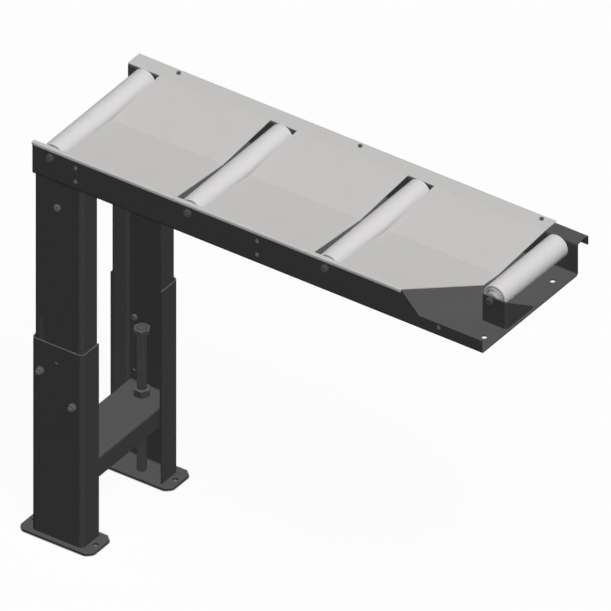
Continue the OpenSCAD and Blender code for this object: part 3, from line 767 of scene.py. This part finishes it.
@dataclass
class Leg:
    """One telescopic leg with its foot, its clamp studs and its jack screw.

    Attributes:
        side: The bed's side that it carries.
        seam: The kind of seam at its foot.
        sheet_mm: The thickness of its sheet.
        bend_mm: The inner radius of its bends.
        bend_steps: The flats in a quarter of a bend or of a head's round edge.
        stud_thread: The clamp studs' thread.
        head_radius_mm: The radius of their heads.
        head_height_mm: The height of their heads.
        head_edge_mm: The round of their heads' edge.
        jack_thread: The jack screw's thread.
    """

    side: Side
    seam: WeldSeam = WeldSeam()
    sheet_mm: float = 3.0
    bend_mm: float = 7.0
    bend_steps: int = 6
    stud_thread: Thread = Thread(8.0, 1.25)
    head_radius_mm: float = 6.5
    head_height_mm: float = 4.0
    head_edge_mm: float = 1.2
    jack_thread: Thread = Thread(20.0, 2.5)

    def build(self) -> None:
        """Dress the leg's nodes, cut its threads and lay its seam."""
        word = self.side.word
        dress(f"leg_{word}")
        dress(f"jack_{word}")
        self.seam.lay(f"foot_seam_{word}", [self.post_foot()], f"leg_{word}")
        self.clamp_studs()
        self.jack_screw()

    def post_foot(self) -> list[Vector]:
        """Follow the lower post's inside corner on the foot plate.

        Returns:
            The path, in at one flange, round the web and out at the other.
        """
        low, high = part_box(f"lower_post_{self.side.word}")
        middle = (low.x + high.x) / 2
        half = (high.x - low.x) / 2 - self.sheet_mm * MM
        web_y = (low.y if self.side is Side.NEAR else high.y) - self.side.value * self.sheet_mm * MM
        edge_y = high.y if self.side is Side.NEAR else low.y
        bend = self.bend_mm * MM
        arc = [math.pi / 2 * i / self.bend_steps for i in range(self.bend_steps + 1)]
        corner = [(half - bend + bend * math.cos(turn), web_y - self.side.value * bend * (1 - math.sin(turn)))
                  for turn in arc]
        right = [(half, edge_y), *corner]
        outline = right + [(-x, y) for x, y in reversed(right)]
        return [Vector((middle + x, y, low.z)) for x, y in outline]

    def clamp_studs(self) -> None:
        """Replace the two plain studs by threaded ones with turned heads."""
        word = self.side.word
        node = f"clamp_studs_{word}"
        low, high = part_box(node)
        inward = -self.side.value
        reach = self.head_radius_mm * MM
        first, second = (low.x, high.x) if self.side is Side.NEAR else (high.x, low.x)
        inner_y = high.y if self.side is Side.NEAR else low.y
        head_y = inner_y - inward * self.head_height_mm * MM
        shank = high.y - low.y - self.head_height_mm * MM
        turn = Matrix.Rotation(math.radians(90.0 * inward), 4, "X")
        meshes = []
        for x, z in ((first + inward * reach, high.z - reach), (second - inward * reach, low.z + reach)):
            at = Matrix.Translation((x, head_y, z)) @ turn
            for mesh in (self.stud_head(), self.stud_thread.rod("stud_rod", shank, ZINC_PLATE)):
                mesh.transform(at)
                meshes.append(mesh)
        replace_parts(fix(f"threaded_studs_{word}", meshes, ZINC_PLATE, f"leg_{word}"), node)

    def stud_head(self) -> bpy.types.Mesh:
        """Turn a low round head that hangs below the origin.

        Returns:
            The mesh.
        """
        radius, height, edge = self.head_radius_mm, self.head_height_mm, self.head_edge_mm
        turns = [math.pi / 2 * i / self.bend_steps for i in range(self.bend_steps + 1)]
        crown = [(radius - edge + edge * math.sin(turn), edge - height - edge * math.cos(turn))
                 for turn in turns]
        return lathe("stud_head", [(0.0, -height), *crown, (radius, 0.0), (0.0, 0.0)], ROUND_SIDES)

    def jack_screw(self) -> None:
        """Replace the plain jack screw by a threaded one."""
        word = self.side.word
        node = f"jack_screw_{word}"
        low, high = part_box(node)
        rod = self.jack_thread.rod("jack_rod", high.z - low.z, OILED_OXIDE)
        rod.transform(Matrix.Translation(((low.x + high.x) / 2, (low.y + high.y) / 2, low.z)))
        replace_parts(fix(f"threaded_jack_{word}", [rod], OILED_OXIDE, f"jack_{word}"), node)


@dataclass(frozen=True)
class Lamp:
    """A sun lamp, hung far away. One without shadows isn't seen in polished pieces either.

    Attributes:
        name: The lamp's name.
        strength: Its strength.
        toward: The way from the object to the lamp.
        spread_deg: How wide it looks from the object.
        shadow: Whether it casts shadows.
    """

    name: str
    strength: float
    toward: tuple[float, float, float]
    spread_deg: float
    shadow: bool

    def hang(self) -> None:
        """Put the lamp in the scene."""
        lamp = bpy.data.lights.new(self.name, "SUN")
        lamp.energy = self.strength
        lamp.angle = math.radians(self.spread_deg)
        lamp.use_shadow = self.shadow
        holder = bpy.data.objects.new(self.name, lamp)
        holder.rotation_mode = "QUATERNION"
        holder.rotation_quaternion = Vector(self.toward).to_track_quat("Z", "Y")
        holder.visible_glossy = self.shadow
        bpy.context.scene.collection.objects.link(holder)


@dataclass
class Studio:
    """The floor, the lamps, the world and the camera.

    Attributes:
        azimuth_deg: How far the camera stands round from the near side.
        elevation_deg: How far it looks down.
        picture_m: The picture's width.
        aim_mm: The point in the picture's middle.
        camera_distance_m: How far the camera stands off.
        camera_reach: How far it sees, in those distances.
        floor_m: The floor's side.
        ambient: The world's even light.
        floor_bounce: The floor's colour for the light that it throws back.
        floor_shade: The part of the floor's white that the lamps make. The rest glows.
        corner_mm: How far off a wall the floor's glow is darkened, as painted shade.
        corner_level: The floor's level where it is walled in, under that painted shade.
        corner_from: The open share of the sky at which the floor is at that level.
        corner_to: The open share at which it is white.
        corner_samples: The rays that measure the share.
        lamps: The lamps.
    """

    azimuth_deg: float = 35.0
    elevation_deg: float = 35.0
    picture_m: float = 1.1474
    aim_mm: tuple[float, float, float] = (-488.3, 0.0, -185.4)
    camera_distance_m: float = 4.0
    camera_reach: float = 4.0
    floor_m: float = 40.0
    ambient: float = 0.012
    floor_bounce: str = "#282828"
    floor_shade: float = 0.5
    corner_mm: float = 12.0
    corner_level: float = 0.15
    corner_from: float = 0.58
    corner_to: float = 0.76
    corner_samples: int = 16
    lamps: tuple[Lamp, ...] = (
        Lamp("key", 0.16, (0.5, -0.38, 1.0), 24.0, True),
        Lamp("fill", 3.38, (0.5, -0.38, 1.0), 40.0, False),
        Lamp("back", 1.7, (-0.5, 1.0, -0.5), 30.0, False),
    )

    def build(self) -> None:
        """Make the floor, the light and the camera."""
        self.world()
        self.floor()
        for lamp in self.lamps:
            lamp.hang()
        self.camera()
        bpy.context.scene.view_settings.view_transform = "Standard"
        log.info("studio: %d lamps", len(self.lamps))

    def seen(self, tree: bpy.types.NodeTree) -> bpy.types.NodeSocket:
        """Tell the rays that should meet the white background from those that carry light.

        Args:
            tree: The tree of the floor or the world.

        Returns:
            1 for camera, glossy and transmission rays, and 0 for the rest.
        """
        path = add(tree, "ShaderNodeLightPath").outputs
        direct = add(tree, "ShaderNodeMath", {0: path["Is Camera Ray"], 1: path["Is Glossy Ray"]},
                     operation="MAXIMUM").outputs[0]
        return add(tree, "ShaderNodeMath", {0: direct, 1: path["Is Transmission Ray"]},
                   operation="MAXIMUM").outputs[0]

    def world(self) -> None:
        """White for the rays that see it, and a low even light for the rest."""
        world = bpy.data.worlds.new("studio")
        bpy.context.scene.world = world
        world.use_nodes = True
        tree = world.node_tree
        tree.nodes.clear()
        level = add(tree, "ShaderNodeMapRange", {
            "Value": self.seen(tree), "To Min": self.ambient, "To Max": 1.0,
        })
        background = add(tree, "ShaderNodeBackground", {
            "Color": (1.0, 1.0, 1.0, 1.0), "Strength": level.outputs[0],
        })
        add(tree, "ShaderNodeOutputWorld", {"Surface": background.outputs[0]})

    def floor(self) -> None:
        """A pale floor under the feet: white where it is lit, grey in their holes by a painted shade that
        darkens its glow, and clear from below.
        """
        half = self.floor_m / 2
        mesh = bpy.data.meshes.new("floor")
        corners = [(-half, -half, 0.0), (half, -half, 0.0), (half, half, 0.0), (-half, half, 0.0)]
        mesh.from_pydata(corners, [], [(0, 1, 2, 3)])
        floor = bpy.data.objects.new("floor", mesh)
        bpy.context.scene.collection.objects.link(floor)
        floor.modifiers.new("level", "NODES").node_group = floor_tree()
        material = bpy.data.materials.new("studio_floor")
        material.use_nodes = True
        tree = material.node_tree
        tree.nodes.clear()
        bounce = add(tree, "ShaderNodeBsdfDiffuse", {"Color": linear(self.floor_bounce)}).outputs[0]
        # Painted shade: occlusion darkens the floor's glow near walls and in the feet's holes
        sky = add(tree, "ShaderNodeAmbientOcclusion", {"Distance": self.corner_mm * MM},
                  samples=self.corner_samples).outputs["AO"]
        level = add(tree, "ShaderNodeMapRange", {
            "Value": sky, "From Min": self.corner_from, "From Max": self.corner_to,
            "To Min": self.corner_level, "To Max": 1.0,
        }).outputs[0]
        shade = add(tree, "ShaderNodeMath", {0: level, 1: self.floor_shade}, operation="MULTIPLY").outputs[0]
        rest = add(tree, "ShaderNodeMath", {0: level, 1: shade}, operation="SUBTRACT").outputs[0]
        lit = add(tree, "ShaderNodeBsdfDiffuse", {"Color": shade}).outputs[0]
        glow = add(tree, "ShaderNodeEmission", {"Strength": rest}).outputs[0]
        shown = add(tree, "ShaderNodeAddShader", {0: lit, 1: glow}).outputs[0]
        mixed = add(tree, "ShaderNodeMixShader", {0: self.seen(tree), 1: bounce, 2: shown}).outputs[0]
        below = add(tree, "ShaderNodeNewGeometry").outputs["Backfacing"]
        clear = add(tree, "ShaderNodeBsdfTransparent").outputs[0]
        surface = add(tree, "ShaderNodeMixShader", {0: below, 1: mixed, 2: clear}).outputs[0]
        add(tree, "ShaderNodeOutputMaterial", {"Surface": surface})
        mesh.materials.append(material)

    def camera(self) -> None:
        """A parallel camera at the photograph's angle and scale."""
        azimuth, elevation = math.radians(self.azimuth_deg), math.radians(self.elevation_deg)
        back = Vector((
            math.sin(azimuth) * math.cos(elevation),
            -math.cos(azimuth) * math.cos(elevation),
            math.sin(elevation),
        ))
        lens = bpy.data.cameras.new("camera")
        lens.type = "ORTHO"
        lens.ortho_scale = self.picture_m
        holder = bpy.data.objects.new("camera", lens)
        holder.rotation_mode = "QUATERNION"
        holder.rotation_quaternion = (-back).to_track_quat("-Z", "Y")
        holder.location = Vector(self.aim_mm) * MM + back * self.camera_distance_m
        lens.clip_end = self.camera_reach * self.camera_distance_m
        bpy.context.scene.collection.objects.link(holder)
        bpy.context.scene.camera = holder


def main() -> None:
    """Build the conveyor's looks and the studio."""
    logging.basicConfig(level=logging.INFO, format="%(name)s: %(message)s")
    Studio().build()
    Bed().build()
    Rollers().build()
    for side in Side:
        Leg(side).build()


if __name__ == "__main__":
    main()
